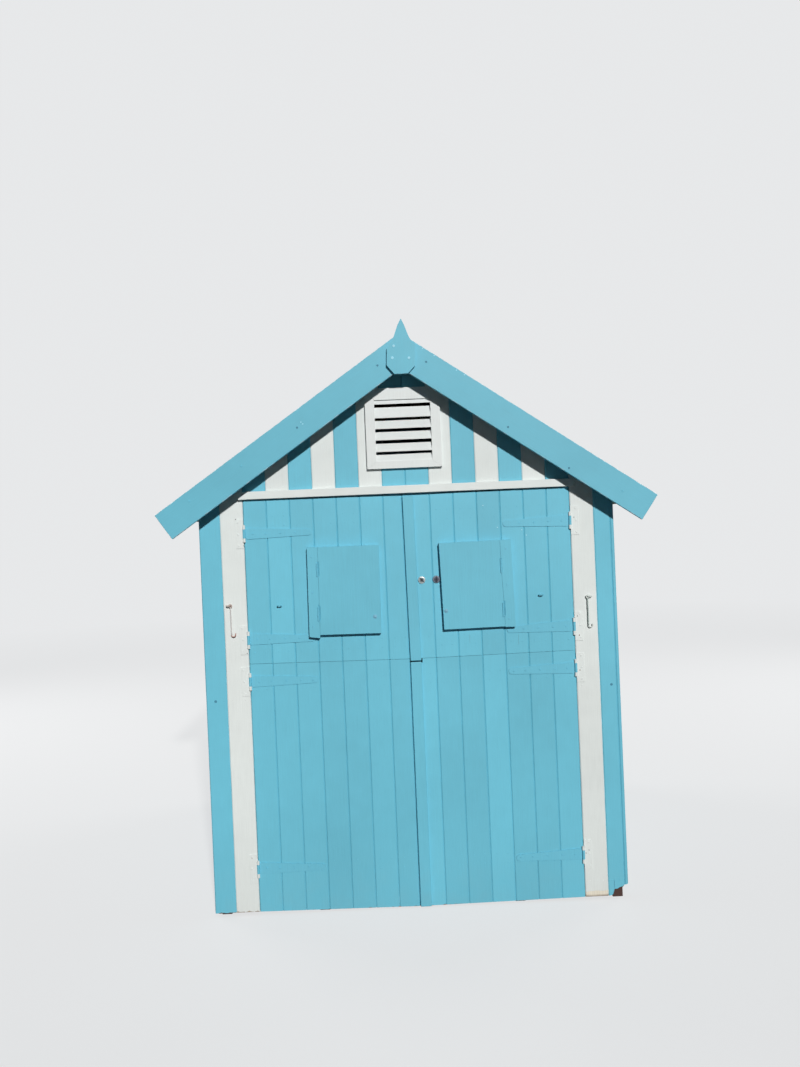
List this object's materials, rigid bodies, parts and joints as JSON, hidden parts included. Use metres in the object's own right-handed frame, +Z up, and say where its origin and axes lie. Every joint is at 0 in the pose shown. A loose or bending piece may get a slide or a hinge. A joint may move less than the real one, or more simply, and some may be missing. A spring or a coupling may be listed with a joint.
{
  "type": "beach hut",
  "caption": "Timber beach hut with a striped apex gable, louvred vent, felt roof, barge boards, finial and painted stable doors that open outwards.",
  "frame": {"origin": "centre of the hut's footprint, at ground level", "axes": "+Z up, -Y towards the viewer of the door front, +X to the right seen from the front"},
  "size_m": [2.189, 2.38, 2.6026],
  "materials": {
    "blue_paint": "weathered pale blue paint on matchboard, chipped at the lower ends",
    "white_paint": "weathered white paint on timber, worn to bare wood at the foot",
    "bare_timber": "sawn softwood, unpainted",
    "roofing_felt": "mineral-faced bitumen felt, rough",
    "blue_iron": "strap hinges brushed over with the door's blue paint",
    "white_iron": "hinge plates brushed over with white paint, rusting at the knuckles",
    "rusty_iron": "rusted steel hooks, eyes and turn knobs",
    "lock_chrome": "dulled chrome"
  },
  "bodies": {
    "hut": {"floor_bearers": "bare_timber", "floor_boards": "bare_timber", "posts": "bare_timber", "door_stops": "blue_paint", "door_head": "bare_timber", "side_rails": "bare_timber", "back_rails": "bare_timber", "wall_studs": "bare_timber", "end_rafters": "bare_timber", "roof_timbers": "bare_timber", "side_wall_left": "blue_paint", "side_wall_right": "blue_paint", "back_wall": "blue_paint", "front_boards_blue": "blue_paint", "front_boards_white": "white_paint", "cross_trim": "white_paint", "vent_frame": "white_paint", "vent_slats": "white_paint", "roof_deck_left": "bare_timber", "roof_deck_right": "bare_timber", "roof_felt": "roofing_felt", "barge_boards_front": "blue_paint", "barge_boards_back": "blue_paint", "finial": "blue_paint", "hinge_plates": "white_iron", "cabin_hooks": "rusty_iron"},
    "upper_left_leaf": {"upper_left_door": "blue_paint", "upper_left_ledges": "bare_timber", "upper_left_straps": "blue_iron", "upper_left_shutter": "blue_paint", "upper_left_fittings": "rusty_iron"},
    "upper_right_leaf": {"upper_right_door": "blue_paint", "upper_right_ledges": "bare_timber", "upper_right_straps": "blue_iron", "upper_right_shutter": "blue_paint", "upper_right_fittings": "rusty_iron", "upper_right_strip": "blue_paint", "lock_cylinders": "lock_chrome"},
    "lower_left_leaf": {"lower_left_door": "blue_paint", "lower_left_ledges": "bare_timber", "lower_left_straps": "blue_iron"},
    "lower_right_leaf": {"lower_right_door": "blue_paint", "lower_right_ledges": "bare_timber", "lower_right_straps": "blue_iron", "lower_right_strip": "blue_paint"}
  },
  "joints": [
    {"name": "upper_left_hinge", "type": "hinge", "parent": "hut", "child": "upper_left_leaf", "pos_m": [-0.7255, -1.062, 1.4615], "axis": [0, 0, -1], "range_deg": [0, 110]},
    {"name": "upper_right_hinge", "type": "hinge", "parent": "hut", "child": "upper_right_leaf", "pos_m": [0.7255, -1.062, 1.4615], "axis": [0, 0, 1], "range_deg": [0, 110]},
    {"name": "lower_left_hinge", "type": "hinge", "parent": "hut", "child": "lower_left_leaf", "pos_m": [-0.7255, -1.062, 0.622], "axis": [0, 0, -1], "range_deg": [0, 160]},
    {"name": "lower_right_hinge", "type": "hinge", "parent": "hut", "child": "lower_right_leaf", "pos_m": [0.7255, -1.062, 0.622], "axis": [0, 0, 1], "range_deg": [0, 160]}
  ]
}
